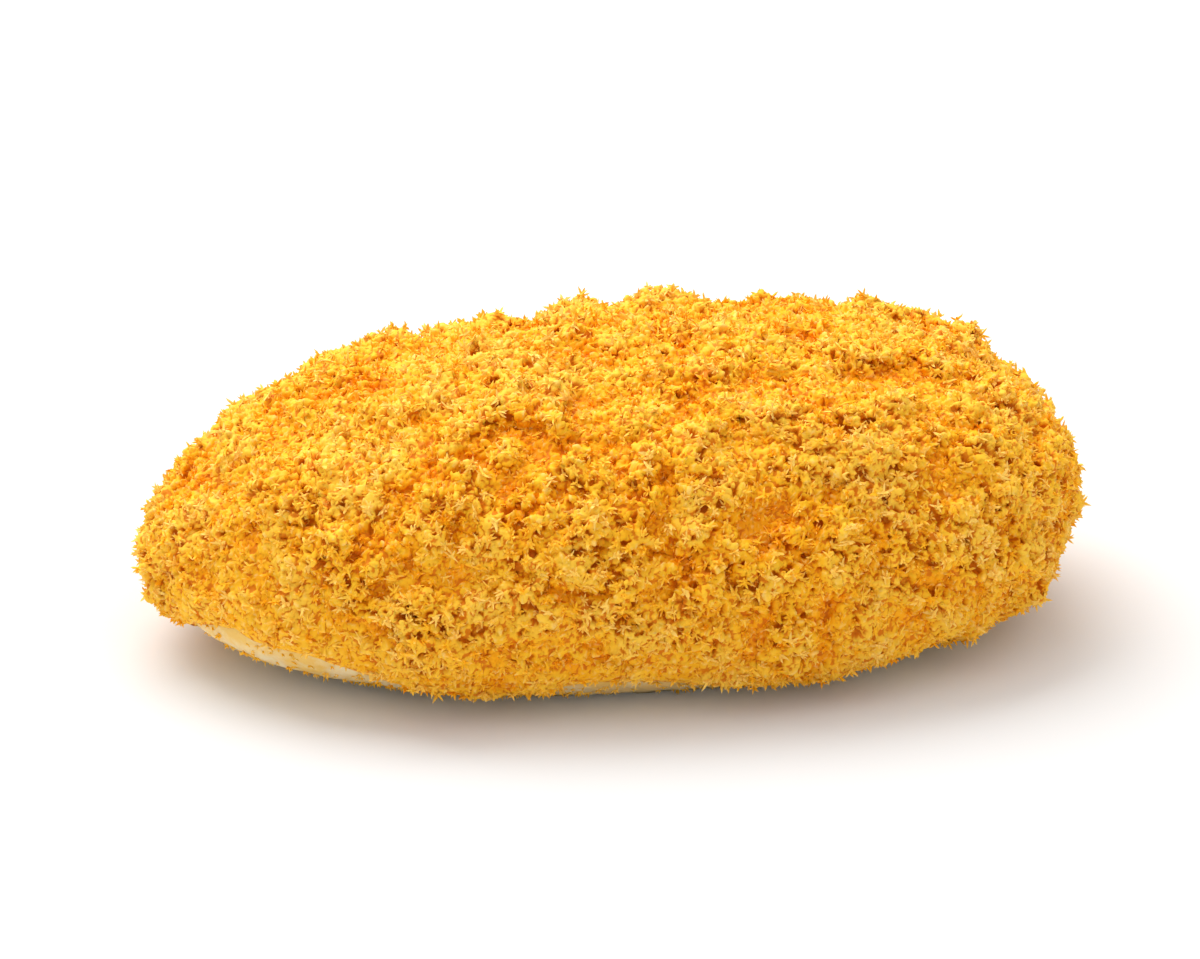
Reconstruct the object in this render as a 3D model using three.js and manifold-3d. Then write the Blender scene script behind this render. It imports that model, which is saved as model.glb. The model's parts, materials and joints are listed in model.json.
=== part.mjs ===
// A pork floss bun: a soft oval bun of white bread on a flat baked base, with its top and sides
// under a thick, matted coat of golden pork floss that stops unevenly a little above the base.
//
// Millimetres, +Z up, the long axis along X, the base on z = 0. The bread and the coat are one
// solid each. The coat fits over the bread like a cap, with a hair's gap between them.

import * as THREE from "three";
import { ImprovedNoise } from "three/addons/math/ImprovedNoise.js";
import { mergeVertices } from "three/addons/utils/BufferGeometryUtils.js";
import Module from "manifold-3d";

// ---------------------------------------------------------------- driving dimensions

const BREAD_LENGTH = 123.4;
const BREAD_WIDTH = 67.4;
const BREAD_HEIGHT = 39.6;
const WIDEST_SHARE = 0.3; // of the height, where the bun is widest
const SINK = 4.3; // how far the round underside would reach below the flat base
const PLAN_BLUNTNESS = 2.26; // 2 is an ellipse, more squares the ends
const TOP_FULLNESS = 2.8; // 2 is a round dome, more fills the shoulders
const UNDERSIDE_FULLNESS = 1.8;
const LEAN = { x: 6.6, y: 1.3 }; // how far the dome's top sits from above the widest level's middle
const PLAN_LOBES = { three: 0.026, four: 0.016 }; // shares by which the oval's ends and sides differ
const SKIN_WAVE = 0.45; // height of the bread's own slow lumps
const SKIN_WAVE_SIZE = 24;

const GAP = 0.3; // between the bread and the coat
const COAT = 3.6; // mean thickness of the floss
const THINNEST = 1; // of the floss, in the pits between its clumps
const HEM_LEVEL = 3.1; // mean height at which the floss stops
const HEM_WANDER = 2.6; // how far the hem climbs and falls round the bun
const HEM_WANDER_SIZE = 17;
const HEM_SHARE = 0.5; // of the floss's thickness that is left at the hem
const HEM_REACH = 11; // above the hem, where the floss comes to full thickness
const HEM_SOFTNESS = 1.5; // height over which the edge of the floss itself rises from the bread
const HEM_FLOOR = 0.9; // nothing of the coat is lower
const BURIED = 1.6; // below the hem, the coat's outer form runs this deep inside the bread

const CLUMP_SIZE = 11; // spacing of the large matted clumps
const CLUMP_HEIGHT = 3;
const TUFT_SIZE = 4.8; // spacing of the tufts that they are made of
const TUFT_HEIGHT = 3.4;
const MEAN_BUMP = 0.6; // of a clump's or tuft's height, averaged over its top and creases

const SHRED_SPACING = 8.6; // at least this far apart, evenly over the whole coat
const SHRED_LENGTH = [3.2, 5];
const SHRED_WIDTH = [1.2, 1.9];
const SHRED_TAPER = 0.5; // of the root's width that is left at the tip
const SHRED_ROOT = 1.1; // how deep a shred is rooted in the coat
const SHRED_TILT = [0.6, 1.35]; // from the surface's normal, in radians
const SHRED_BEND = 1.1; // the most that a shred curls from root to tip, in radians
const SEED = 20;

// Bare patches, where the floss has come away and the bread shows higher up the side. Each is at
// an angle round the bun from +X, with its half width in radians and how far it lifts the hem.
const BARE_PATCHES = [
  { at: -2.58, half: 0.36, lift: 10.5 },
  { at: -1.58, half: 0.26, lift: 4.2 },
  { at: -0.87, half: 0.14, lift: 5 },
  { at: -0.5, half: 0.15, lift: 5.2 },
  { at: 0.95, half: 0.3, lift: 4.5 },
  { at: 2.25, half: 0.36, lift: 6.5 },
];

// Each form is a box of even faces blown up into the bun. The faces are about this wide.
const BREAD_FACE = 6.2;
const COAT_FACE = 2.25;
const FACE_JITTER = 0.35; // of a face, by which the coat's points are shifted out of their rows

const COLOURS = { bread: 0xeed9a6, floss: 0xe5a93a };

const wasm = await Module();
wasm.setup();
const noise = new ImprovedNoise();

// ---------------------------------------------------------------- small helpers

// A repeatable stream of numbers from 0 to 1.
function randomStream(seed) {
  let state = seed >>> 0;
  return () => {
    state = (state + 0x6d2b79f5) >>> 0;
    let t = state;
    t = Math.imul(t ^ (t >>> 15), t | 1);
    t ^= t + Math.imul(t ^ (t >>> 7), t | 61);
    return ((t ^ (t >>> 14)) >>> 0) / 4294967296;
  };
}

const between = ([low, high], share) => low + (high - low) * share;

// Slow smooth noise, from about -1 to 1, with bumps of about this size in millimetres.
function wave(point, size, offset = 0) {
  return noise.noise(point.x / size + offset, point.y / size - offset, point.z / size + 7.3);
}

// A fixed number from 0 to 1 for a cell of a grid and a channel.
function cellValue(i, j, k, channel) {
  const mixed = Math.sin(i * 127.1 + j * 311.7 + k * 74.7 + channel * 53.9) * 43758.5453;
  return mixed - Math.floor(mixed);
}

// Bumps packed side by side with creases between them: 1 on a bump's top, 0 in a deep crease.
function bumps(point, size) {
  const [x, y, z] = [point.x / size, point.y / size, point.z / size];
  const [i0, j0, k0] = [Math.floor(x), Math.floor(y), Math.floor(z)];
  let nearest = Infinity;
  for (let i = i0 - 1; i <= i0 + 1; i++)
    for (let j = j0 - 1; j <= j0 + 1; j++)
      for (let k = k0 - 1; k <= k0 + 1; k++) {
        const dx = i + cellValue(i, j, k, 0) - x;
        const dy = j + cellValue(i, j, k, 1) - y;
        const dz = k + cellValue(i, j, k, 2) - z;
        nearest = Math.min(nearest, dx * dx + dy * dy + dz * dz);
      }
  return Math.max(0, 1 - nearest ** 0.75);
}

function solidOf(geometry) {
  const merged = mergeVertices(
    new THREE.BufferGeometry()
      .setAttribute("position", geometry.getAttribute("position"))
      .setIndex(geometry.index),
    1e-4,
  );
  return new wasm.Manifold(
    new wasm.Mesh({
      numProp: 3,
      vertProperties: merged.getAttribute("position").array,
      triVerts: new Uint32Array(merged.index.array),
    }),
  );
}

function geometryOf(solid) {
  const mesh = solid.getMesh();
  const geometry = new THREE.BufferGeometry()
    .setAttribute("position", new THREE.BufferAttribute(mesh.vertProperties, 3))
    .setIndex(new THREE.BufferAttribute(mesh.triVerts, 1));
  geometry.computeVertexNormals();
  return geometry;
}

// The half space above a level, as a box far larger than the bun.
function above(level) {
  const size = 4 * BREAD_LENGTH;
  return solidOf(new THREE.BoxGeometry(size, size, size).translate(0, 0, size / 2 + level));
}

// The largest piece of a solid, without the loose scraps that cutting leaves.
function mainPiece(solid) {
  return solid.decompose().reduce((a, b) => (a.volume() > b.volume() ? a : b));
}

// ---------------------------------------------------------------- the bun's form

const HALF = { x: BREAD_LENGTH / 2, y: BREAD_WIDTH / 2 };
const WIDEST_LEVEL = WIDEST_SHARE * BREAD_HEIGHT;

// Half of the bun's upright section, from the middle of its underside to the top of its dome.
class BunProfile extends THREE.Curve {
  getPoint(t, target = new THREE.Vector2()) {
    const turn = (t - 0.5) * Math.PI;
    const rise = turn < 0 ? WIDEST_LEVEL + SINK : BREAD_HEIGHT - WIDEST_LEVEL;
    const power = 2 / (turn < 0 ? UNDERSIDE_FULLNESS : TOP_FULLNESS);
    const height = Math.sign(turn) * rise * Math.abs(Math.sin(turn)) ** power;
    return target.set(MEAN_REACH * Math.cos(turn) ** power, WIDEST_LEVEL + height);
  }
}

const MEAN_REACH = (HALF.x + HALF.y) / 2;
const profile = new BunProfile();

// The plan's reach at an angle from +X, for half axes of 1: a blunt and slightly lopsided oval.
function planReach(angle) {
  const [c, s] = [Math.abs(Math.cos(angle)), Math.abs(Math.sin(angle))];
  const oval = (c ** PLAN_BLUNTNESS + s ** PLAN_BLUNTNESS) ** (-1 / PLAN_BLUNTNESS);
  return oval * (1 - PLAN_LOBES.three * Math.cos(3 * angle) - PLAN_LOBES.four * Math.cos(4 * angle));
}

// The point of the bun's skin in a direction from its middle, for a bun squeezed into a ball.
function skinPoint(aim, target) {
  const angle = Math.atan2(aim.y, aim.x);
  const section = profile.getPointAt(0.5 + Math.asin(aim.z) / Math.PI);
  const reach = (planReach(angle) * section.x) / MEAN_REACH;
  const lean = Math.max(0, (section.y - WIDEST_LEVEL) / (BREAD_HEIGHT - WIDEST_LEVEL));
  return target.set(
    HALF.x * reach * Math.cos(angle) + LEAN.x * lean,
    HALF.y * reach * Math.sin(angle) + LEAN.y * lean,
    section.y,
  );
}

// Each square face is two triangles. Every second one's are split the other way, so that relief
// shows no slanting rows.
function turnDiagonals(index) {
  for (let i = 0; i < index.count; i += 12) {
    const [a, b, d, c] = [0, 1, 2, 4].map((k) => index.getX(i + k));
    [a, b, c, a, c, d].forEach((corner, k) => index.setX(i + k, corner));
  }
}

// The bun's round form before its base is cut flat: a box of even faces, blown up into a ball
// and moved to the bun's skin. The spans are how much of the skin the box's faces come to cover
// along X, along Y and upwards. The form keeps its normals, for the coat to be laid along them.
function bunForm(face, jitter = 0) {
  const spans = [0.72 * BREAD_LENGTH, 0.75 * BREAD_WIDTH, 0.5 * profile.getLength()];
  const counts = spans.map((span) => Math.round(span / face));
  const box = new THREE.BoxGeometry(2, 2, 2, ...counts);
  const form = mergeVertices(
    new THREE.BufferGeometry()
      .setAttribute("position", box.getAttribute("position"))
      .setIndex(box.index),
    1e-5,
  );
  turnDiagonals(form.index);
  const place = form.getAttribute("position");
  const random = randomStream(SEED);
  const shift = (count) => (jitter * (2 * random() - 1)) / count;
  const point = new THREE.Vector3();
  for (let i = 0; i < place.count; i++) {
    const [x, y, z] = [place.getX(i) ** 2, place.getY(i) ** 2, place.getZ(i) ** 2];
    point.fromBufferAttribute(place, i).multiply(
      new THREE.Vector3(
        Math.sqrt(1 - y / 2 - z / 2 + (y * z) / 3),
        Math.sqrt(1 - z / 2 - x / 2 + (z * x) / 3),
        Math.sqrt(1 - x / 2 - y / 2 + (x * y) / 3),
      ),
    );
    point.add(new THREE.Vector3(...counts.map(shift))).normalize();
    skinPoint(point, point);
    place.setXYZ(i, point.x, point.y, point.z);
  }
  form.computeVertexNormals();
  return form;
}

// Moves each point of a form along its normal by an amount in millimetres.
function pushed(form, amount) {
  const moved = form.clone();
  const [place, normals] = [moved.getAttribute("position"), form.getAttribute("normal")];
  const [point, normal] = [new THREE.Vector3(), new THREE.Vector3()];
  for (let i = 0; i < place.count; i++) {
    point.fromBufferAttribute(place, i);
    normal.fromBufferAttribute(normals, i);
    point.addScaledVector(normal, amount(point));
    place.setXYZ(i, point.x, point.y, point.z);
  }
  moved.computeVertexNormals();
  return moved;
}

const skinLumps = (point) => SKIN_WAVE * wave(point, SKIN_WAVE_SIZE);

// ---------------------------------------------------------------- the bread

function makeBread() {
  return solidOf(pushed(bunForm(BREAD_FACE), skinLumps)).intersect(above(0));
}

// ---------------------------------------------------------------- the floss

// The height at which the floss stops, at a point of the bun's side.
function hemLevel(point) {
  const angle = Math.atan2(point.y / HALF.y, point.x / HALF.x);
  let level = HEM_LEVEL + HEM_WANDER * wave(point, HEM_WANDER_SIZE, 3.1);
  for (const patch of BARE_PATCHES) {
    const turn = Math.atan2(Math.sin(angle - patch.at), Math.cos(angle - patch.at));
    level += patch.lift * Math.exp(-((turn / patch.half) ** 2));
  }
  return level;
}

// How far the floss stands off the bread, and below the hem how deep its form runs inside it.
function flossHeight(point) {
  const clumps = CLUMP_HEIGHT * (bumps(point, CLUMP_SIZE) - MEAN_BUMP);
  const tufts = TUFT_HEIGHT * (bumps(point, TUFT_SIZE) - MEAN_BUMP);
  const rise = point.z - hemLevel(point);
  const thinning = THREE.MathUtils.lerp(HEM_SHARE, 1, THREE.MathUtils.smoothstep(rise, 0, HEM_REACH));
  const full = Math.max(THINNEST, thinning * (COAT + clumps + tufts));
  const share = THREE.MathUtils.smoothstep(rise, -HEM_SOFTNESS, HEM_SOFTNESS);
  return THREE.MathUtils.lerp(-BURIED, full, share);
}

// One bent, tapered shred of floss, four-sided, its root at the origin and growing along +Z.
function shred(length, width, bend) {
  const rod = new THREE.CylinderGeometry((SHRED_TAPER * width) / 2, width / 2, length, 4, 2);
  rod.rotateX(Math.PI / 2).translate(0, 0, length / 2);
  const place = rod.getAttribute("position");
  for (let i = 0; i < place.count; i++) {
    const along = place.getZ(i);
    const turn = (bend * along) / length;
    place.setX(i, place.getX(i) + along * Math.sin(turn));
    place.setZ(i, along * Math.cos(turn));
  }
  return rod;
}

// Points of a form spread evenly: drawn at random, and kept if none kept before is too near.
function spread(form, spacing, random) {
  const place = form.getAttribute("position");
  const drawn = Array.from({ length: place.count }, (_, i) => ({ i, order: random() }));
  const kept = [];
  for (const { i } of drawn.sort((a, b) => a.order - b.order)) {
    const point = new THREE.Vector3().fromBufferAttribute(place, i);
    if (point.z < hemLevel(point) + HEM_SOFTNESS) continue;
    if (kept.every((other) => other.point.distanceTo(point) > spacing)) kept.push({ i, point });
  }
  return kept;
}

// Shreds that stand out of the coat all over, each rooted in it and leaning its own way.
function shreds(coat) {
  const random = randomStream(SEED);
  const normals = coat.getAttribute("normal");
  const up = new THREE.Vector3(0, 0, 1);
  return spread(coat, SHRED_SPACING, random).map(({ i, point }) => {
    const length = between(SHRED_LENGTH, random());
    const piece = shred(length, between(SHRED_WIDTH, random()), SHRED_BEND * random());
    const normal = new THREE.Vector3().fromBufferAttribute(normals, i);
    piece.rotateY(between(SHRED_TILT, random())).rotateZ(2 * Math.PI * random());
    piece.applyQuaternion(new THREE.Quaternion().setFromUnitVectors(up, normal));
    point.addScaledVector(normal, -SHRED_ROOT);
    return solidOf(piece.translate(point.x, point.y, point.z));
  });
}

function makeCoat() {
  const outer = pushed(bunForm(COAT_FACE, FACE_JITTER), flossHeight);
  const inner = solidOf(pushed(bunForm(BREAD_FACE), (point) => skinLumps(point) + GAP));
  const matted = wasm.Manifold.union([solidOf(outer), ...shreds(outer)]);
  return mainPiece(matted.subtract(inner).intersect(above(HEM_FLOOR)));
}

// ---------------------------------------------------------------- the whole

function mesh(name, solid, colour, roughness) {
  const material = new THREE.MeshStandardMaterial({ color: colour, roughness, metalness: 0 });
  const made = new THREE.Mesh(geometryOf(solid), material);
  made.name = name;
  return made;
}

const bun = new THREE.Group();
bun.add(mesh("bread_bun", makeBread(), COLOURS.bread, 0.75));
bun.add(mesh("pork_floss", makeCoat(), COLOURS.floss, 0.8));

// The origin is under the middle of the bun's box, on the surface that it stands on.
const middle = new THREE.Box3().setFromObject(bun).getCenter(new THREE.Vector3());
for (const piece of bun.children) piece.position.set(-middle.x, -middle.y, 0);

export default bun;
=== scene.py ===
# %% [markdown]
# # A pork floss bun
#
# A soft oval bun of white bread lies on its flat base. A thin dressing holds a thick coat of pork
# floss on its top and sides: meat that was cooked, torn into short shreds and dried in a wok until
# it is golden, curly and light. This lesson dresses a plain faceted model of the bun. Each cell
# makes one piece or one finish, and prints what it made.

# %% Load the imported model
import json
import math
import random

import bmesh
import bpy
from mathutils import Matrix, Vector

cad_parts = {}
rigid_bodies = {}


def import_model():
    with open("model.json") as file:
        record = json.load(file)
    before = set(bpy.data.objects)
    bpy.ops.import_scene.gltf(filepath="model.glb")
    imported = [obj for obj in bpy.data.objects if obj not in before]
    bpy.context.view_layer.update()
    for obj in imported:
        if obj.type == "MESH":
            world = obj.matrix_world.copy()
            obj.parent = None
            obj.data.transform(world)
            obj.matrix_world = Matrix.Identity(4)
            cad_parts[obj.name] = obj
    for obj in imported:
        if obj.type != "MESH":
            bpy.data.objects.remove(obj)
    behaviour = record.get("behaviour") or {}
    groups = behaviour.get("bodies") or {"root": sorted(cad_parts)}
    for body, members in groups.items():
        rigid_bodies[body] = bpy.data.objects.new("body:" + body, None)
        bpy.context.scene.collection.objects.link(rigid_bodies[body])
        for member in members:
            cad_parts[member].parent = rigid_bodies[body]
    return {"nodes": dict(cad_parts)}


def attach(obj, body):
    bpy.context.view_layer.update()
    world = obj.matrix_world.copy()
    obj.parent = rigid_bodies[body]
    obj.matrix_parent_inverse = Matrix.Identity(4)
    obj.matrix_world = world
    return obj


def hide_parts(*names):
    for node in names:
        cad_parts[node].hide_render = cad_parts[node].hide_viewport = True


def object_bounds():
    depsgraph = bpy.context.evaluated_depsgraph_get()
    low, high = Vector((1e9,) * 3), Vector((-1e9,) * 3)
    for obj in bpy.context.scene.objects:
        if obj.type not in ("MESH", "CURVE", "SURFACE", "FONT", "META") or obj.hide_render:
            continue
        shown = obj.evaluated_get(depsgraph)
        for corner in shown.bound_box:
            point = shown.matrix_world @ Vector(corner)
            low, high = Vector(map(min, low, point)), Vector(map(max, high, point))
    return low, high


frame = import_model()
cad_bounds = [list(corner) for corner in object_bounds()]
bpy.ops.object.select_all(action="DESELECT")

MM = 0.001
low, high = (Vector(corner) for corner in cad_bounds)
bun_size = high - low
print("the bun measures", [round(side / MM, 1) for side in bun_size], "mm")

# %% [markdown]
# ## Helpers for nodes
#
# Colours are easiest to read as the hex values of a colour picker, but Blender's shaders work with
# linear light, so one function turns the first into the second. Node trees for shaders and for
# geometry are built alike, so one function adds a node to either, sets it up and links it. The
# others are short names for the nodes that come back most often: sums, ranges and noise.


# %% Colour and node helpers
def linear(hex_colour):
    """An sRGB hex colour, such as "#e5a93a", as linear red, green, blue and alpha."""
    channels = [int(hex_colour[i : i + 2], 16) / 255 for i in (1, 3, 5)]
    curve = [c / 12.92 if c <= 0.04045 else ((c + 0.055) / 1.055) ** 2.4 for c in channels]
    return (*curve, 1.0)


def add(tree, kind, inputs=None, **settings):
    """A new node with its settings. An input is a value, or the socket that feeds it."""
    node = tree.nodes.new(kind)
    for name, value in settings.items():
        setattr(node, name, value)
    for key, value in (inputs or {}).items():
        if isinstance(value, bpy.types.NodeSocket):
            tree.links.new(value, node.inputs[key])
        else:
            node.inputs[key].default_value = value
    return node


def maths(tree, operation, *values):
    """A Math node's result."""
    return add(tree, "ShaderNodeMath", dict(enumerate(values)), operation=operation).outputs[0]


def mapped(tree, value, low_in, high_in, low_out=0.0, high_out=1.0, smooth=True):
    """A value taken from one range to another, and held inside it."""
    keys = {
        "Value": value,
        "From Min": low_in,
        "From Max": high_in,
        "To Min": low_out,
        "To Max": high_out,
    }
    easing = "SMOOTHSTEP" if smooth else "LINEAR"
    return add(tree, "ShaderNodeMapRange", keys, interpolation_type=easing).outputs[0]


def vector_maths(tree, operation, first, second):
    """A Vector Math node's result."""
    return add(tree, "ShaderNodeVectorMath", {0: first, 1: second}, operation=operation).outputs[0]


def scaled(tree, vector, amount):
    """A vector field times a number field."""
    keys = {0: vector, "Scale": amount}
    return add(tree, "ShaderNodeVectorMath", keys, operation="SCALE").outputs[0]


def height_of(tree, place):
    """The height above the table of a vector field of places."""
    return add(tree, "ShaderNodeSeparateXYZ", {"Vector": place}).outputs["Z"]


def noise_at(tree, size, detail=2.0, rough=0.5, seed=0.0):
    """A noise field with bumps of about this size in metres, in a geometry or shader tree."""
    keys = {"Scale": 1 / size, "Detail": detail, "Roughness": rough, "W": seed}
    return add(tree, "ShaderNodeTexNoise", keys, noise_dimensions="4D")


def mixed(tree, amount, first, second):
    """A colour between two others."""
    keys = {"Factor": amount, "A": first, "B": second}
    return add(tree, "ShaderNodeMix", keys, data_type="RGBA").outputs["Result"]


# %% [markdown]
# ## The camera
#
# The photograph was taken from a little above, through a long lens, so the bun hardly narrows
# towards its far end. The camera is placed by what such a shot is described with: how high it
# looks from, how far it has gone round, how far away it stands, and what it aims at.

# %% Camera
ELEVATION = math.radians(23)
ROUND = math.radians(-9)
DISTANCE = 0.65
LENS = 141.9
AIM_HEIGHT = 21.4 * MM
AIM = Vector((-1.24 * MM, 1.03 * MM))  # right and up from there, in the picture's plane

back = Vector((
    math.sin(ROUND) * math.cos(ELEVATION),
    -math.cos(ROUND) * math.cos(ELEVATION),
    math.sin(ELEVATION),
))
right = Vector((math.cos(ROUND), math.sin(ROUND), 0))
up = back.cross(right)
aim_point = Vector((0, 0, AIM_HEIGHT)) + AIM.x * right + AIM.y * up
place = aim_point + DISTANCE * back
turned = Matrix((right, up, back)).transposed().to_euler()
bpy.ops.object.camera_add(location=place, rotation=turned)
camera = bpy.context.object
camera.name = "photo_camera"
camera.data.lens = LENS
bpy.context.scene.camera = camera
print("camera at", [round(c, 3) for c in place])

# %% [markdown]
# ## The table and the light
#
# The bun was photographed on seamless white, so bright that the table hardly differs from pure
# white. Only a soft, warm shadow under the bun's turned-in edge tells where it stands. The sky is
# bright overhead and dim at the sides, so that the front gets darker downwards, and one broad lamp
# from behind and above gives the bright upper side. The plain Standard view shows the colours as
# they are.

# %% Table, sky and lamp
TABLE_SIZE = 6
SKY_AT_SIDES = 0.16
SKY_OVERHEAD = 1.08
SKY_FULL_FROM = 0.8  # how high, of 1 straight up, the sky is as bright as overhead
LAMP_PLACE = Vector((-0.25, 0.35, 0.75))
LAMP_POWER = 9.2
LAMP_SIZE = 0.9

bpy.ops.mesh.primitive_plane_add(size=TABLE_SIZE)
table = bpy.context.object
table.name = "white_table"

paper = bpy.data.materials.new("seamless white paper")  # flat and matt, with no sheen of its own
paper.use_nodes = True
paper.node_tree.nodes.clear()
matt = add(paper.node_tree, "ShaderNodeBsdfDiffuse", {"Color": linear("#f0efee"), "Roughness": 1.0})
add(paper.node_tree, "ShaderNodeOutputMaterial", {"Surface": matt.outputs[0]})
table.data.materials.append(paper)

world = bpy.data.worlds.new("white_sky")
bpy.context.scene.world = world
world.use_nodes = True
tree = world.node_tree
upwards = height_of(tree, add(tree, "ShaderNodeTexCoord").outputs["Generated"])
strength = mapped(tree, upwards, 0.0, SKY_FULL_FROM, SKY_AT_SIDES, SKY_OVERHEAD, smooth=False)
tree.links.new(strength, tree.nodes["Background"].inputs["Strength"])
tree.nodes["Background"].inputs["Color"].default_value = (1, 1, 1, 1)

toward = (LAMP_PLACE - aim_point).to_track_quat("Z", "Y").to_euler()
bpy.ops.object.light_add(type="AREA", location=LAMP_PLACE, rotation=toward)
lamp = bpy.context.object
lamp.name = "window_behind"
lamp.data.size = LAMP_SIZE
lamp.data.energy = LAMP_POWER

bpy.context.scene.view_settings.view_transform = "Standard"
print("table, sky and lamp are in place")

# %% [markdown]
# ## Helpers for meshes
#
# The faceted model already has the right forms, so new pieces start as copies of its nodes. A copy
# is merged by distance, because the model's facets don't share their points. A voxel remesh then
# melts a copy into one even skin, and some smoothing takes the steps of the voxels off it.


# %% Mesh helpers
def copy_of(node_name, name):
    """A merged copy of a node of the faceted model, selected and ready for operators."""
    bpy.ops.object.select_all(action="DESELECT")
    source = frame["nodes"][node_name]
    copy = bpy.data.objects.new(name, source.data.copy())
    bpy.context.collection.objects.link(copy)
    copy.data.name = name
    copy.data.materials.clear()
    copy.select_set(True)
    bpy.context.view_layer.objects.active = copy
    bpy.ops.object.mode_set(mode="EDIT")
    bpy.ops.mesh.select_all(action="SELECT")
    bpy.ops.mesh.remove_doubles(threshold=0.001 * MM)
    bpy.ops.object.mode_set(mode="OBJECT")
    return copy


def apply_modifiers(piece):
    """Applies every modifier of a piece, in order."""
    bpy.context.view_layer.objects.active = piece
    for name in [modifier.name for modifier in piece.modifiers]:
        bpy.ops.object.modifier_apply(modifier=name)


def remesh(piece, voxel, rounds, strength=0.5):
    """One even skin for a piece, relaxed by some rounds of smoothing."""
    melt = piece.modifiers.new("melt the facets", "REMESH")
    melt.mode = "VOXEL"
    melt.voxel_size = voxel
    relax = piece.modifiers.new("relax", "SMOOTH")
    relax.iterations = rounds
    relax.factor = strength
    apply_modifiers(piece)


# %% [markdown]
# ## The bread
#
# The bun itself shows only near the table, where the floss stops: a pale, soft, slightly crinkled
# skin, cream white where it is clean and yellow where a dust of floss and dressing clings to it.
# A copy of the model's bread is melted into one even skin and given its faint crinkles by a cloud
# pattern. Its lowest part is then pressed flat on the table.

# %% Bread
BREAD_VOXEL = 0.9 * MM
CRINKLE_SIZE = 3.2 * MM
CRINKLE_HEIGHT = 0.5 * MM
SOLE_DEPTH = 0.35 * MM  # what is lower than this is pressed flat

bread = copy_of("bread_bun", "bread_skin")
remesh(bread, BREAD_VOXEL, 14, 0.6)
crinkle_pattern = bpy.data.textures.new("crinkles", "CLOUDS")
crinkle_pattern.noise_scale = CRINKLE_SIZE
crinkle_pattern.noise_depth = 3
crinkles = bread.modifiers.new("crinkles", "DISPLACE")
crinkles.texture = crinkle_pattern
crinkles.texture_coords = "LOCAL"
crinkles.strength = CRINKLE_HEIGHT
crinkles.mid_level = 0.5
apply_modifiers(bread)
bpy.ops.object.shade_smooth()
for vertex in bread.data.vertices:
    vertex.select = vertex.co.z < SOLE_DEPTH
bpy.ops.object.mode_set(mode="EDIT")
bpy.ops.transform.resize(value=(1, 1, 0), center_override=(0, 0, 0))
bpy.ops.object.mode_set(mode="OBJECT")
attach(bread, "root")
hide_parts("bread_bun")
print("bread skin:", len(bread.data.polygons), "faces")

# %% [markdown]
# ## The bread's finish
#
# Steamed-soft bread skin is matt and lets a little light through. Its colour runs from cream white
# in the clean spots to golden yellow where the dust of the floss has settled, in soft patches of a
# few millimetres. Less of the dust has reached the lowest few millimetres. A fine bump gives the
# skin its grain.

# %% Bread material
CLEAN_BREAD = linear("#f1e3bd")
DUSTY_BREAD = linear("#efc463")
PATCH_SIZE = 7 * MM
PATCH_NOISE = (0.32, 0.54)  # from clean to dusty
DUST_HEIGHTS = (0.5 * MM, 6 * MM)
DUST_AT_TABLE = 0.3  # against 1 higher up
GRAIN_SIZE = 0.8 * MM
GRAIN_DEPTH = 0.25 * MM

bread_finish = bpy.data.materials.new("soft white bread skin")
bread_finish.use_nodes = True
tree = bread_finish.node_tree
shader = tree.nodes["Principled BSDF"]
spot = add(tree, "ShaderNodeTexCoord").outputs["Object"]
keys = {"Vector": spot, "Scale": 1 / PATCH_SIZE, "Detail": 6.0, "Roughness": 0.62}
patches = add(tree, "ShaderNodeTexNoise", keys).outputs["Fac"]
dust = mapped(tree, patches, *PATCH_NOISE, smooth=False)
settled = mapped(tree, height_of(tree, spot), *DUST_HEIGHTS, DUST_AT_TABLE, 1.0, smooth=False)
colour = mixed(tree, maths(tree, "MULTIPLY", dust, settled), CLEAN_BREAD, DUSTY_BREAD)
tree.links.new(colour, shader.inputs["Base Color"])
shader.inputs["Roughness"].default_value = 0.62
shader.inputs["Subsurface Weight"].default_value = 0.25
shader.inputs["Subsurface Radius"].default_value = (1.0, 0.7, 0.4)
shader.inputs["Subsurface Scale"].default_value = 2 * MM
keys = {"Vector": spot, "Scale": 1 / GRAIN_SIZE, "Detail": 4.0}
grain = add(tree, "ShaderNodeTexNoise", keys).outputs["Fac"]
bump = add(tree, "ShaderNodeBump", {"Height": grain, "Strength": 0.35, "Distance": GRAIN_DEPTH})
tree.links.new(bump.outputs["Normal"], shader.inputs["Normal"])
bread.data.materials.append(bread_finish)
print("bread finish:", bread_finish.name)

# %% [markdown]
# ## Helpers for geometry nodes
#
# Relief, holes and scattered tufts are made by geometry nodes, because fields can reach every point
# of a dense mesh at once. What one step finds out and a later step needs, such as the height of the
# relief, is kept on the mesh as a named attribute. Much depends on how thick the floss is at a
# point, which is read as the distance to the model's bread.


# %% Geometry node helpers
def geometry_tree(name):
    """An empty geometry node group that takes a mesh and gives one back, with its two ends."""
    group = bpy.data.node_groups.new(name, "GeometryNodeTree")
    group.interface.new_socket("Geometry", in_out="INPUT", socket_type="NodeSocketGeometry")
    group.interface.new_socket("Geometry", in_out="OUTPUT", socket_type="NodeSocketGeometry")
    return group, add(group, "NodeGroupInput").outputs[0], add(group, "NodeGroupOutput").inputs[0]


def run_nodes(piece, tree):
    """Applies a geometry node group to a piece."""
    modifier = piece.modifiers.new(tree.name, "NODES")
    modifier.node_group = tree
    apply_modifiers(piece)


def kept(tree, geometry, name, value, domain="POINT", data_type="FLOAT"):
    """Geometry with a field stored on it as a named attribute."""
    keys = {"Geometry": geometry, "Name": name, "Value": value}
    settings = {"data_type": data_type, "domain": domain}
    return add(tree, "GeometryNodeStoreNamedAttribute", keys, **settings).outputs[0]


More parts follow.
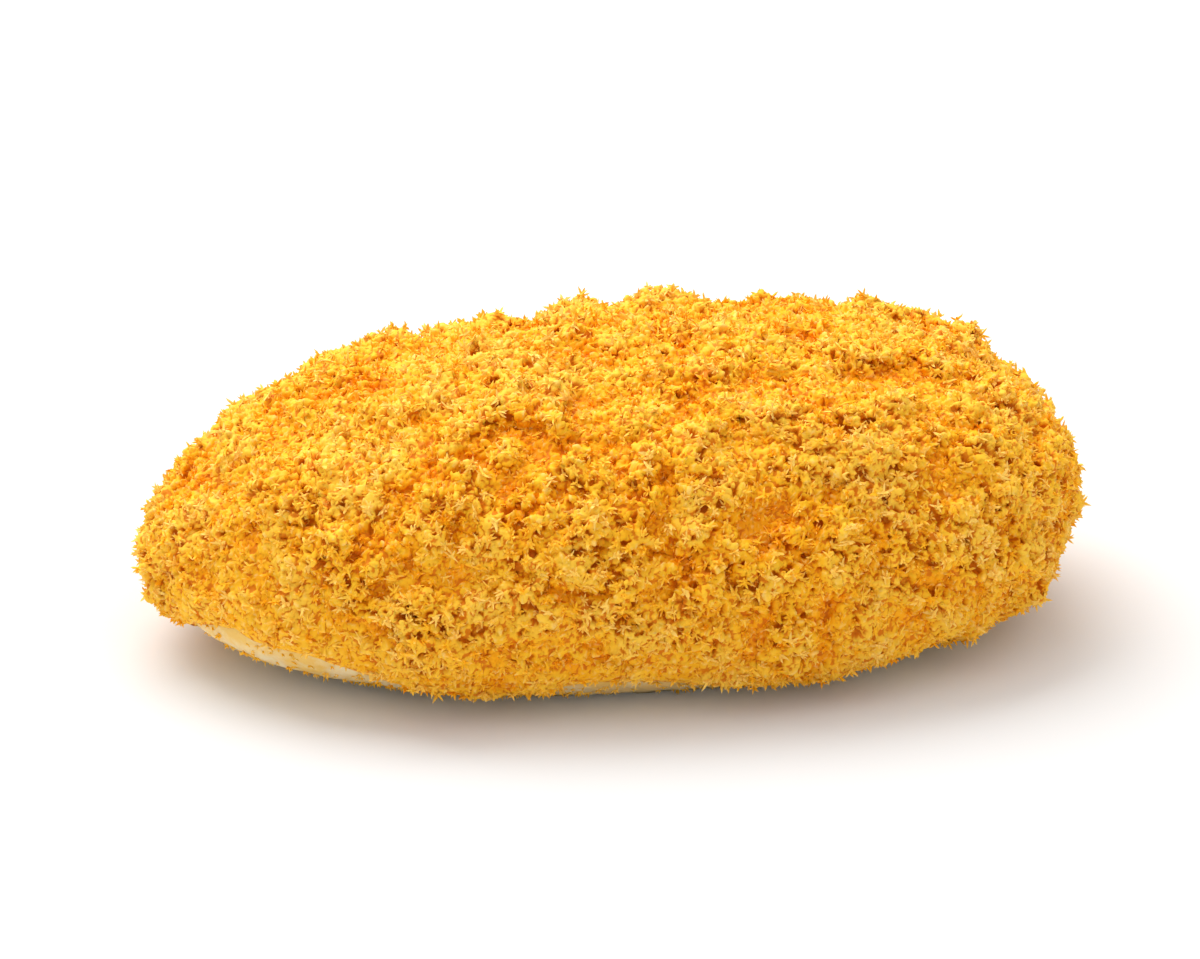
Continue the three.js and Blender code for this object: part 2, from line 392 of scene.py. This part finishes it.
def named(tree, name):
    """The field of a named number attribute."""
    return add(tree, "GeometryNodeInputNamedAttribute", {"Name": name}, data_type="FLOAT").outputs[0]


def moved(tree, geometry, offset):
    """Geometry with its points moved by a vector field."""
    keys = {"Geometry": geometry, "Offset": offset}
    return add(tree, "GeometryNodeSetPosition", keys).outputs[0]


def position(tree):
    """The place of every point."""
    return add(tree, "GeometryNodeInputPosition").outputs[0]


def along_normal(tree, amount):
    """A move straight out of the surface, or into it where the amount is less than 0."""
    return scaled(tree, add(tree, "GeometryNodeInputNormal").outputs[0], amount)


def distance_to(tree, node_name):
    """How far a point is from a node of the faceted model."""
    skin = add(tree, "GeometryNodeObjectInfo", {"Object": frame["nodes"][node_name]})
    keys = {0: skin.outputs["Geometry"]}
    return add(tree, "GeometryNodeProximity", keys, target_element="FACES").outputs["Distance"]


def centred_noise(tree, size, seed):
    """A vector noise field round zero, with each part between -0.5 and 0.5."""
    noise = noise_at(tree, size, 1.0, 0.5, seed).outputs["Color"]
    return vector_maths(tree, "SUBTRACT", noise, (0.5, 0.5, 0.5))


# %% [markdown]
# ## The body of the floss
#
# The coat of floss is a mat of shreds that cling together. Its body is one closed skin with fine
# relief, because millions of single shreds would be too many. It starts from the model's coat. A
# copy of the bread, a little swollen, fills the coat's inside, so that a voxel remesh melts the two
# into one lump, and much smoothing takes the model's coarse strips off it. A coarser remesh drops
# the thin needles that are left of them, which the relief would blow up into knots.

# %% Lump of the floss
FILLER_OUT = 0.2 * MM
FORM_VOXEL = 0.42 * MM
NEEDLE_VOXEL = 0.9 * MM


def swollen_bread(name, amount):
    """A copy of the model's bread, grown outwards all over by an amount."""
    piece = copy_of("bread_bun", name)
    swell = piece.modifiers.new("swell", "DISPLACE")
    swell.strength = amount
    swell.mid_level = 0.0
    apply_modifiers(piece)
    return piece


filler = swollen_bread("filler", FILLER_OUT)
body = copy_of("pork_floss", "floss_body")
filler.select_set(True)
bpy.ops.object.join()
remesh(body, FORM_VOXEL, 60)
remesh(body, NEEDLE_VOXEL, 8)
remesh(body, FORM_VOXEL, 4)
print("lump of the floss:", len(body.data.polygons), "faces")

# %% [markdown]
# ## Clumps and pits
#
# Floss settles in clumps of 4 to 5 mm, with smaller nodules on them and pits between them. Smooth
# Voronoi cells give the rounded clumps and nodules, a noise sinks the pits, and a slower noise
# lets the coat swell and sag as a whole. All relief fades where the floss is thin. The body is also
# drawn in, so that what rises from it stays within the model. Smooth Voronoi is slow, so this is
# done on the coarser mesh.

# %% Clumps and pits
CLUMP_SIZE = 4.6 * MM
CLUMP_HEIGHT = 2.6 * MM
NODULE_SIZE = 1.7 * MM
NODULE_HEIGHT = 1.0 * MM
PIT_SIZE = 4.5 * MM
PIT_NOISE = (0.36, 0.46)  # from the floor of a pit to its rim
PIT_DEPTH = 1.8 * MM
SWELL_SIZE = 11 * MM
SWELL_NOISE = (0.35, 0.65)
SWELL_HEIGHTS = (-0.5 * MM, 0.4 * MM)
THIN_TO_THICK = (0.8 * MM, 3.5 * MM)
RELIEF_WHERE_THIN = 0.25  # against 1 where the floss is thick
DRAWN_IN = 1.2 * MM
LEAST_FLOSS = 0.75 * MM  # no pit comes nearer to the bread than this


def rounded_bumps(tree, size, height, smoothness):
    """Bumps of about this size, high in the middle of each Voronoi cell and low in between."""
    keys = {"Scale": 1 / size, "Randomness": 1.0, "Smoothness": smoothness}
    cell = add(tree, "ShaderNodeTexVoronoi", keys, feature="SMOOTH_F1").outputs["Distance"]
    return maths(tree, "MULTIPLY", maths(tree, "SUBTRACT", 0.5, cell), height)


tree, mesh_in, mesh_out = geometry_tree("clumps and pits")
relief = rounded_bumps(tree, CLUMP_SIZE, CLUMP_HEIGHT, 0.4)
relief = maths(tree, "ADD", relief, rounded_bumps(tree, NODULE_SIZE, NODULE_HEIGHT, 0.3))
pits = mapped(tree, noise_at(tree, PIT_SIZE, 2.0, 0.6, seed=3.0).outputs["Fac"], *PIT_NOISE)
sunk = maths(tree, "MULTIPLY", maths(tree, "SUBTRACT", pits, 1.0), PIT_DEPTH)
relief = maths(tree, "ADD", relief, sunk)
swelling = noise_at(tree, SWELL_SIZE, 1.0, 0.5, seed=12.0).outputs["Fac"]
relief = maths(tree, "ADD", relief, mapped(tree, swelling, *SWELL_NOISE, *SWELL_HEIGHTS))
depth = distance_to(tree, "bread_bun")
thick_enough = mapped(tree, depth, *THIN_TO_THICK, RELIEF_WHERE_THIN, 1.0)
relief = maths(tree, "MULTIPLY", relief, thick_enough)
out = maths(tree, "SUBTRACT", relief, maths(tree, "MULTIPLY", thick_enough, DRAWN_IN))
deepest = maths(tree, "MINIMUM", maths(tree, "SUBTRACT", LEAST_FLOSS, depth), 0.0)
out = maths(tree, "MAXIMUM", out, deepest)
with_relief = kept(tree, mesh_in, "relief", relief)
tree.links.new(moved(tree, with_relief, along_normal(tree, out)), mesh_out)
run_nodes(body, tree)
print("clumps and pits are kept as an attribute:", "relief" in body.data.attributes)

# %% [markdown]
# ## Nubs and holes
#
# Up close the floss is frizzy, with nubs of one millimetre and of half a millimetre and with small
# holes between them. Voronoi cells give the nubs, and the places that they are read at are stirred
# by a noise, so that no two are alike. This needs faces of a quarter of a millimetre, so the body is
# remeshed once more. The finer mesh has lost the height of the relief, which is read back from a
# copy of the coarser one. Nubs and holes fade where the coat thins out towards its edge.

# %% Nubs and holes
BODY_VOXEL = 0.24 * MM
STIR_SIZE = 0.9 * MM
STIR_WIDTH = 1.5 * MM
BIG_LOBE = 1.0 * MM
SMALL_LOBE = 0.55 * MM
BIG_SHARE = 0.55  # of a nub's height, and the small lobes give the rest
LOBE_EDGES = (0.1, 0.72)  # from the top of a lobe to its crease, in cell widths
NUB_HEIGHT = 0.75 * MM
NUBS_GROW = (0.45 * MM, 1.1 * MM)  # from none to full, over these thicknesses of floss
HOLE_SIZE = 1.5 * MM
HOLE_NOISE = (0.37, 0.45)  # from the floor of a hole to its rim
HOLE_DEPTH = 1.1 * MM
HOLES_GROW = (1.4 * MM, 2.2 * MM)  # the same for the holes
LEAN_SIZE = 1.1 * MM
LEAN_WIDTH = 0.6 * MM
STIR_SEED = 60.0


def lobes(tree, size, place):
    """Rounded lobes, 1 in their middles and 0 in the creases between them."""
    keys = {"Vector": place, "Scale": 1 / size, "Randomness": 1.0}
    cell = add(tree, "ShaderNodeTexVoronoi", keys).outputs["Distance"]
    return mapped(tree, cell, *LOBE_EDGES, 1.0, 0.0)


form = body.copy()  # kept a while for its relief
form.data = body.data.copy()
bpy.context.collection.objects.link(form)
form.name = "floss_form"
remesh(body, BODY_VOXEL, 2)

tree, mesh_in, mesh_out = geometry_tree("nubs and holes")
coarse = add(tree, "GeometryNodeObjectInfo", {"Object": form}).outputs["Geometry"]
keys = {"Mesh": coarse, "Value": named(tree, "relief")}
relief = add(tree, "GeometryNodeSampleNearestSurface", keys).outputs[0]
stir = scaled(tree, centred_noise(tree, STIR_SIZE, STIR_SEED), STIR_WIDTH)
stirred = vector_maths(tree, "ADD", position(tree), stir)
big_lobes = maths(tree, "MULTIPLY", lobes(tree, BIG_LOBE, stirred), BIG_SHARE)
small_lobes = maths(tree, "MULTIPLY", lobes(tree, SMALL_LOBE, stirred), 1 - BIG_SHARE)
nub = maths(tree, "ADD", big_lobes, small_lobes)
depth = distance_to(tree, "bread_bun")
grown = mapped(tree, depth, *NUBS_GROW)
holes = noise_at(tree, HOLE_SIZE, 1.0, 0.5, seed=70.0).outputs["Fac"]
holes = mapped(tree, holes, *HOLE_NOISE, 1.0, 0.0)
holes = maths(tree, "MULTIPLY", holes, mapped(tree, depth, *HOLES_GROW))
height = maths(tree, "MULTIPLY", maths(tree, "MULTIPLY", nub, grown), NUB_HEIGHT)
height = maths(tree, "SUBTRACT", height, maths(tree, "MULTIPLY", holes, HOLE_DEPTH))
nub = maths(tree, "MULTIPLY", nub, maths(tree, "SUBTRACT", 1.0, holes))
lean = scaled(tree, centred_noise(tree, LEAN_SIZE, STIR_SEED), maths(tree, "MULTIPLY", nub, grown))
move = vector_maths(tree, "ADD", along_normal(tree, height), scaled(tree, lean, LEAN_WIDTH))
with_facts = kept(tree, kept(tree, mesh_in, "relief", relief), "nub", nub)
tree.links.new(moved(tree, with_facts, move), mesh_out)
run_nodes(body, tree)
bpy.data.objects.remove(form)
print("body with nubs and holes:", len(body.data.polygons), "faces")

# %% [markdown]
# ## The hollow for the bread
#
# The coat is a shell: inside it is the bread. The bread's own shape is therefore cut out of the
# body, swollen by a little more than the height of the skin's crinkles.

# %% Hollow
CUTTER_OUT = 0.35 * MM

cutter = swollen_bread("cutter", CUTTER_OUT)
hollow = body.modifiers.new("hollow", "BOOLEAN")
hollow.operation = "DIFFERENCE"
hollow.solver = "MANIFOLD"
hollow.object = cutter
apply_modifiers(body)
bpy.data.objects.remove(cutter)
bpy.ops.object.select_all(action="DESELECT")
body.select_set(True)
bpy.ops.object.shade_smooth()
print("hollow body:", len(body.data.polygons), "faces")

# %% [markdown]
# ## Slices
#
# This relief takes over a million triangles, and one mesh may have fewer than 200,000, so the body
# is cut across into slices with about the same number of faces each. Each slice laps over the next
# by a tenth of a millimetre, so that no seam shows. The UV map of the floss holds two facts for the
# material to read: across, how pale a point is, and upwards, how far it is from the root of a nub
# to its tip. Across, a small spread is added, so that what has one shade doesn't shrink to a line.

# %% Slices of the body
SLICES = 7
OVERLAP = 0.1 * MM
MARGIN = 10 * MM  # past both ends of the bun
TALLER_THAN_ALL = 200 * MM
ROOT = 0.4  # upwards in the UV map
TIP = 0.46
SPREAD_LENGTH = 2 * MM
SPREAD_WIDTH = 0.012
SLOW_PATCH = 9 * MM
RELIEF_RANGE = (-1.6 * MM, 0.6 * MM)  # from the floor of the pits to the top of most clumps


def slow_patches(tree):
    """From -0.1 to 0.1, in patches in which the floss is a little deeper or paler in colour."""
    noise = noise_at(tree, SLOW_PATCH, 2.0, 0.5, seed=8.0).outputs["Fac"]
    return mapped(tree, noise, 0.35, 0.65, -0.1, 0.1)


def stored_facts(tree, geometry, across, upward):
    """Geometry with two numbers kept in its OFBake UV map."""
    place = scaled(tree, position(tree), 1 / SPREAD_LENGTH)
    spread = maths(tree, "FRACT", add(tree, "ShaderNodeSeparateXYZ", {"Vector": place}).outputs[0])
    across = maths(tree, "ADD", across, maths(tree, "MULTIPLY", spread, SPREAD_WIDTH))
    upward = mapped(tree, upward, 0.0, 1.0, ROOT, TIP, smooth=False)
    facts = add(tree, "ShaderNodeCombineXYZ", {"X": across, "Y": upward}).outputs[0]
    return kept(tree, geometry, "OFBake", facts, domain="CORNER", data_type="FLOAT2")


def dress(piece):
    """What every piece of the floss needs: no scratch attributes, a node to ride on, the model's
    floss hidden.
    """
    for key in ("relief", "shade", "along", "layer", "nub"):
        if key in piece.data.attributes:
            piece.data.attributes.remove(piece.data.attributes[key])
    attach(piece, "root")
    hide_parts("pork_floss")
    count = sum(len(face.vertices) - 2 for face in piece.data.polygons)
    print(piece.name, "has", count, "triangles")


def slice_of(whole, name, start, end):
    """The part of a mesh between two places along the bun, as a new piece."""
    bpy.ops.mesh.primitive_cube_add(size=1, location=((start + end) / 2, 0, 0))
    block = bpy.context.object
    block_size = (end - start + OVERLAP, TALLER_THAN_ALL, TALLER_THAN_ALL)
    bpy.ops.object.mode_set(mode="EDIT")
    bpy.ops.transform.resize(value=block_size, center_override=block.location)
    bpy.ops.object.mode_set(mode="OBJECT")
    piece = bpy.data.objects.new(name, whole.data.copy())
    bpy.context.collection.objects.link(piece)
    piece.data.name = name
    cut = piece.modifiers.new("cut", "BOOLEAN")
    cut.operation = "INTERSECT"
    cut.solver = "MANIFOLD"
    cut.object = block
    apply_modifiers(piece)
    bpy.data.objects.remove(block)
    return piece


tree, mesh_in, mesh_out = geometry_tree("facts of the body")
# painted shade and light: the floss takes a deeper colour in the pits and a paler one on the clumps
painted_relief_shade = mapped(tree, named(tree, "relief"), *RELIEF_RANGE, 0.15, 0.7)
shade = maths(tree, "ADD", slow_patches(tree), painted_relief_shade)
# upwards, the nubs put the painted root shade in the creases and the painted tip light on the lobes
tree.links.new(stored_facts(tree, mesh_in, shade, named(tree, "nub")), mesh_out)

middles = sorted(face.center.x for face in body.data.polygons)
cuts = [middles[len(middles) * n // SLICES] for n in range(1, SLICES)]
cuts = [low.x - MARGIN, *cuts, high.x + MARGIN]
slices = []
for n in range(SLICES):
    piece = slice_of(body, f"floss_body_{n + 1}", cuts[n], cuts[n + 1])
    run_nodes(piece, tree)
    dress(piece)
    slices.append(piece)

# %% [markdown]
# ## Tufts, modelled once
#
# The body gives the mat, but the real floss also has loose curled ends that stand off it. They are
# added as little tufts, two millimetres across from tip to tip, bristling with short curved nubs.
# Ten different tufts are modelled: an ico sphere is squeezed into an uneven lump, and about half of
# the faces that don't turn down are extruded twice, bent to one side, and drawn to a point. Each
# tuft keeps, in an attribute, how far a point of it is from the lump towards the tips.

# %% Model a tuft
TUFT_SHAPES = 10
TUFT_SEED = 7
STRETCH = (0.9, 1.6)
LUMP_RADIUS = 0.4 * MM
LUMP_WIDTH = (0.75, 1.0)
LUMP_HEIGHT = (0.6, 0.85)
LEAST_UPWARD = -0.35  # of a face's normal: nubs grow on the faces that turn up more than this
NUBS = (7, 9)
FIRST_STEP = (0.35 * MM, 0.6 * MM)
LAST_STEP = (0.2 * MM, 0.4 * MM)
FIRST_BEND = 0.2 * MM
LAST_BEND = 0.3 * MM
MIDDLE_WIDTH = 0.85  # against the width of the face that the nub is drawn from


def select_face_at(piece, centre):
    """Selects, in edit mode, the one face of a piece whose middle is nearest to a point."""
    bpy.ops.mesh.select_all(action="DESELECT")
    shape = bmesh.from_edit_mesh(piece.data)
    nearest = min(shape.faces, key=lambda face: (face.calc_center_median() - centre).length)
    nearest.select_set(True)
    bmesh.update_edit_mesh(piece.data)


def model_tuft(name, draw, stretch):
    """A lump with curved nubs. stretch is how much longer than its ico sphere the lump is."""
    bpy.ops.mesh.primitive_ico_sphere_add(subdivisions=1, radius=LUMP_RADIUS)
    tuft = bpy.context.object
    tuft.name = name
    bpy.ops.object.mode_set(mode="EDIT")
    bpy.ops.mesh.select_all(action="SELECT")
    squeeze = (stretch, draw.uniform(*LUMP_WIDTH), draw.uniform(*LUMP_HEIGHT))
    bpy.ops.transform.resize(value=squeeze, center_override=(0, 0, 0))
    bpy.ops.object.mode_set(mode="OBJECT")
    starts = [(face.center.copy(), face.normal.copy()) for face in tuft.data.polygons]
    upper = [start for start in starts if start[1].z > LEAST_UPWARD]
    bpy.ops.object.mode_set(mode="EDIT")
    for centre, normal in draw.sample(upper, draw.randint(*NUBS)):
        select_face_at(tuft, centre)
        side = Vector([draw.uniform(-1, 1) for _ in range(3)])
        first = normal * draw.uniform(*FIRST_STEP) + side * FIRST_BEND
        bpy.ops.mesh.extrude_region_move(TRANSFORM_OT_translate={"value": first})
        bpy.ops.transform.resize(value=[MIDDLE_WIDTH] * 3, center_override=centre + first)
        last = normal * draw.uniform(*LAST_STEP) + side * LAST_BEND
        bpy.ops.mesh.extrude_region_move(TRANSFORM_OT_translate={"value": last})
        bpy.ops.mesh.merge(type="CENTER")
    bpy.ops.object.mode_set(mode="OBJECT")
    reach = max(vertex.co.length for vertex in tuft.data.vertices) - LUMP_RADIUS
    towards_tip = tuft.data.attributes.new("along", "FLOAT", "POINT")
    for vertex, value in zip(tuft.data.vertices, towards_tip.data):
        value.value = min(1.0, max(0.0, (vertex.co.length - LUMP_RADIUS) / reach))
    return tuft


tuft_draw = random.Random(TUFT_SEED)
tuft_box = bpy.data.collections.new("tuft shapes")
bpy.context.scene.collection.children.link(tuft_box)
for n in range(TUFT_SHAPES):
    tuft = model_tuft(f"tuft_{n}", tuft_draw, tuft_draw.uniform(*STRETCH))
    for home in list(tuft.users_collection):
        home.objects.unlink(tuft)
    tuft_box.objects.link(tuft)
    print(tuft.name, "has", sum(len(face.vertices) - 2 for face in tuft.data.polygons), "triangles")

# %% [markdown]
# ## Tufts, thousands of times
#
# Geometry nodes scatter one even set of points over the outer side of the body, nearly two lumps
# apart. The points are dealt out to a few kinds of floss, so that no kind leaves a gap that another
# doesn't fill, and every tuft is raised, tilted, turned, sized and shaded by chance. Tufts in the
# pits are smaller, and painted shade makes them deeper in colour; tufts that are raised higher get
# painted light, which makes them paler. The instances are then made real mesh. A last kind, about
# half as large, lies in drifts on the bare bread near the table.

# %% Scatter the tufts
TUFT_GAP = 1.45 * MM
TUFTS_PER_MM2 = 0.9
OUTER_SIDE = (0.42 * MM, 0.6 * MM)  # from the bread: what is nearer is the hollow's wall
DUST_GAP = 0.9 * MM
DUST_PER_MM2 = 1.6
BARE_BREAD = (0.35 * MM, 0.6 * MM)  # from the model's coat
DRIFT_SIZE = 4 * MM
OFF_THE_TABLE = (0.7 * MM, 1.6 * MM)
LIFT = (-0.1 * MM, 0.1 * MM)  # the most that a tuft is raised off the body, where thin and thick
LIFT_DEPTHS = (0.7 * MM, 2.4 * MM)
DEALING_SEED = 99


def random_number(tree, least, most, seed):
    """A number field with its own value for every element."""
    keys = {"Min": least, "Max": most, "Seed": seed}
    return add(tree, "FunctionNodeRandomValue", keys, data_type="FLOAT").outputs[1]


def random_vector(tree, seed):
    """A vector field with each part between -1 and 1."""
    keys = {"Min": (-1, -1, -1), "Max": (1, 1, 1), "Seed": seed}
    return add(tree, "FunctionNodeRandomValue", keys, data_type="FLOAT_VECTOR").outputs[0]


def on_outer_side(tree):
    """1 on the outer side of the floss's body, and 0 on the wall of its hollow."""
    return mapped(tree, distance_to(tree, "bread_bun"), *OUTER_SIDE, smooth=False)


def on_bare_bread(tree):
    """Drifts, where the model's coat leaves the bread bare, and not against the table."""
    bare = mapped(tree, distance_to(tree, "pork_floss"), *BARE_BREAD)
    drifts = noise_at(tree, DRIFT_SIZE, 2.0, 0.6, seed=5.0).outputs["Fac"]
    drifts = mapped(tree, drifts, 0.4, 0.6, 0.1, 1.0)
    off_the_table = mapped(tree, height_of(tree, position(tree)), *OFF_THE_TABLE)
    return maths(tree, "MULTIPLY", maths(tree, "MULTIPLY", bare, drifts), off_the_table)


def even_points(tree, mesh, bed):
    """The node that scatters one even set of points over a bed."""
    keys = {
        "Mesh": mesh,
        "Distance Min": bed["gap"],
        "Density Max": bed["per_mm2"] / MM**2,
        "Density Factor": bed["where"](tree),
        "Seed": DEALING_SEED,
    }
    return add(tree, "GeometryNodeDistributePointsOnFaces", keys, distribute_method="POISSON")


def lifted(tree, points):
    """The points raised or sunk by chance, each with that chance kept as its layer, 0 to 1."""
    chance = random_number(tree, 0.0, 1.0, DEALING_SEED + 1)
    layered = kept(tree, points.outputs["Points"], "layer", chance)
    most = mapped(tree, distance_to(tree, "bread_bun"), *LIFT_DEPTHS, *LIFT, smooth=False)
    rise = maths(tree, "MULTIPLY", named(tree, "layer"), most)
    return moved(tree, layered, scaled(tree, points.outputs["Normal"], rise))


def own_share(tree, points, dealt):
    """The points whose ticket, a number from 0 to 1, is in the share that is dealt."""
    ticket = random_number(tree, 0.0, 1.0, DEALING_SEED)
    too_high = maths(tree, "GREATER_THAN", ticket, dealt[1])
    too_low = maths(tree, "LESS_THAN", ticket, dealt[0])
    keys = {"Geometry": points, "Selection": maths(tree, "ADD", too_high, too_low)}
    return add(tree, "GeometryNodeDeleteGeometry", keys, domain="POINT").outputs[0]


def tuft_shade(tree, shade, seed):
    """A tuft's shade: chance, slow patches, painted shade in pits, painted light on raised tufts."""
    painted_relief_shade = mapped(tree, named(tree, "relief"), *RELIEF_RANGE, -0.3, 0.12)
    tone = maths(tree, "ADD", slow_patches(tree), painted_relief_shade)
    tone = maths(tree, "ADD", tone, random_number(tree, *shade, seed))
    # painted light on the tufts that are raised and painted shade on those that are sunk
    return maths(tree, "ADD", tone, mapped(tree, named(tree, "layer"), 0.0, 1.0, -0.22, 0.16))


def tuft_turn(tree, normal, lean, tilt_seed, turn_seed):
    """How a tuft is tilted off the surface and turned about itself, both by chance."""
    tilted = vector_maths(tree, "ADD", normal, scaled(tree, random_vector(tree, tilt_seed), lean))
    upright = add(tree, "FunctionNodeAlignRotationToVector", {"Vector": tilted}, axis="Z")
    keys = {"Rotation": upright.outputs[0], "Vector": random_vector(tree, turn_seed)}
    settings = {"axis": "X", "pivot_axis": "Z"}
    return add(tree, "FunctionNodeAlignRotationToVector", keys, **settings).outputs[0]


def tuft_size(tree, size, seed):
    """A tuft's size by chance, and smaller in the pits."""
    small_in_pits = mapped(tree, named(tree, "relief"), RELIEF_RANGE[0], 0.0, 0.8, 1.0)
    return maths(tree, "MULTIPLY", random_number(tree, *size, seed), small_in_pits)


def deal_tufts(name, seed, dealt, size, lean, shade, bed):
    """A piece of thousands of tufts, on the points dealt to it out of the one even set.

    dealt is the share of the points, as (from, to) between 0 and 1; size is (least, most) against
    the modelled tuft; lean is how far a tuft tilts; shade is (least, most) from 0, deep orange, to
    1, pale straw; bed is what they lie on, the body of the floss or the bare bread.
    """
    piece = bpy.data.objects.new(name, bed["piece"].data.copy())
    bpy.context.collection.objects.link(piece)
    piece.data.name = name
    tree, mesh_in, mesh_out = geometry_tree(name)
    points = even_points(tree, mesh_in, bed)
    own_points = own_share(tree, lifted(tree, points), dealt)
    keys = {"Collection": tuft_box, "Separate Children": True, "Reset Children": True}
    shapes = add(tree, "GeometryNodeCollectionInfo", keys).outputs[0]
    first_seed = seed * 10
    keys = {
        "Points": kept(tree, own_points, "shade", tuft_shade(tree, shade, first_seed + 1)),
        "Instance": shapes,
        "Pick Instance": True,
        "Rotation": tuft_turn(tree, points.outputs["Normal"], lean, first_seed + 2, first_seed + 3),
        "Scale": tuft_size(tree, size, first_seed + 4),
    }
    tufts = add(tree, "GeometryNodeInstanceOnPoints", keys).outputs[0]
    real = add(tree, "GeometryNodeRealizeInstances", {"Geometry": tufts}).outputs[0]
    upward = mapped(tree, named(tree, "along"), 0.0, 1.0, 0.25, 1.0, smooth=False)
    tree.links.new(stored_facts(tree, real, named(tree, "shade"), upward), mesh_out)
    run_nodes(piece, tree)
    dress(piece)
    return piece


on_floss = {"piece": body, "where": on_outer_side, "gap": TUFT_GAP, "per_mm2": TUFTS_PER_MM2}
on_bread = {"piece": bread, "where": on_bare_bread, "gap": DUST_GAP, "per_mm2": DUST_PER_MM2}
kinds = [
    deal_tufts("floss_nubs", 2, (0.0, 0.33), (0.7, 0.95), 0.7, (0.5, 0.8), on_floss),
    deal_tufts("floss_tufts", 3, (0.33, 0.67), (0.75, 1.0), 0.8, (0.55, 0.85), on_floss),
    deal_tufts("floss_crests", 4, (0.67, 1.0), (0.75, 1.05), 0.9, (0.6, 0.95), on_floss),
    deal_tufts("floss_dust", 5, (0.0, 1.0), (0.3, 0.65), 0.9, (0.6, 0.95), on_bread),
]
bpy.data.objects.remove(body)
for tuft in list(tuft_box.objects):
    bpy.data.objects.remove(tuft)
bpy.data.collections.remove(tuft_box)

# %% [markdown]
# ## The floss's finish
#
# Dried meat fibre is golden and slightly see-through, so its tips are pale straw and its pits glow
# orange, where light has gone from shred to shred. Bright, saturated base colours do part of that
# here: light that bounces between the nubs takes up more of their colour each time. The rest is
# painted into the colour. The UV map says which colour a point takes: across, from deep orange to
# pale straw, with painted shade in the pits and painted light on the clumps, and upwards, from a
# painted brown shade at the root through that colour to a paler tip, which is painted light. The
# fibre has hardly any shine.

# %% Floss material
SHADES = ((0.05, "#f49a00"), (0.3, "#f9ac08"), (0.55, "#fbbe22"), (0.8, "#fbc840"), (1.0, "#fcd062"))
# painted shade: a brown mixed into the roots of the nubs and the creases between the lobes
PAINTED_ROOT_SHADE = linear("#d87400")
ROOT_SHADE_AMOUNT = 0.9
ROOT_ENDS = 0.418  # upwards in the UV map
# painted light: a pale straw mixed into the tips
PAINTED_TIP_LIGHT = linear("#fdd88c")
TIP_LIGHT_AMOUNT = 0.6
TIP_BEGINS = 0.43

shred_finish = bpy.data.materials.new("dried pork fibre")
shred_finish.use_nodes = True
tree = shred_finish.node_tree
shader = tree.nodes["Principled BSDF"]
uv = add(tree, "ShaderNodeUVMap", uv_map="OFBake")
parts = add(tree, "ShaderNodeSeparateXYZ", {"Vector": uv.outputs[0]})
ramp = add(tree, "ShaderNodeValToRGB", {"Fac": parts.outputs["X"]})
for n, (at, shade) in enumerate(SHADES):
    stop = ramp.color_ramp.elements[n] if n < 2 else ramp.color_ramp.elements.new(at)
    stop.position = at
    stop.color = linear(shade)
# the root mix is painted shade and the tip mix is painted light
from_root = mapped(tree, parts.outputs["Y"], ROOT, ROOT_ENDS)
root_shade_part = mapped(tree, from_root, 0.0, 1.0, ROOT_SHADE_AMOUNT, 0.0)
root_shaded = mixed(tree, root_shade_part, ramp.outputs[0], PAINTED_ROOT_SHADE)
to_tip = mapped(tree, parts.outputs["Y"], TIP_BEGINS, TIP, smooth=False)
tip_lit = mixed(tree, maths(tree, "MULTIPLY", to_tip, TIP_LIGHT_AMOUNT), root_shaded, PAINTED_TIP_LIGHT)
tree.links.new(tip_lit, shader.inputs["Base Color"])
shader.inputs["Roughness"].default_value = 0.55
shader.inputs["Specular IOR Level"].default_value = 0.15
for piece in kinds + slices:
    piece.data.materials.clear()
    piece.data.materials.append(shred_finish)
print("floss finish on", len(kinds + slices), "pieces")
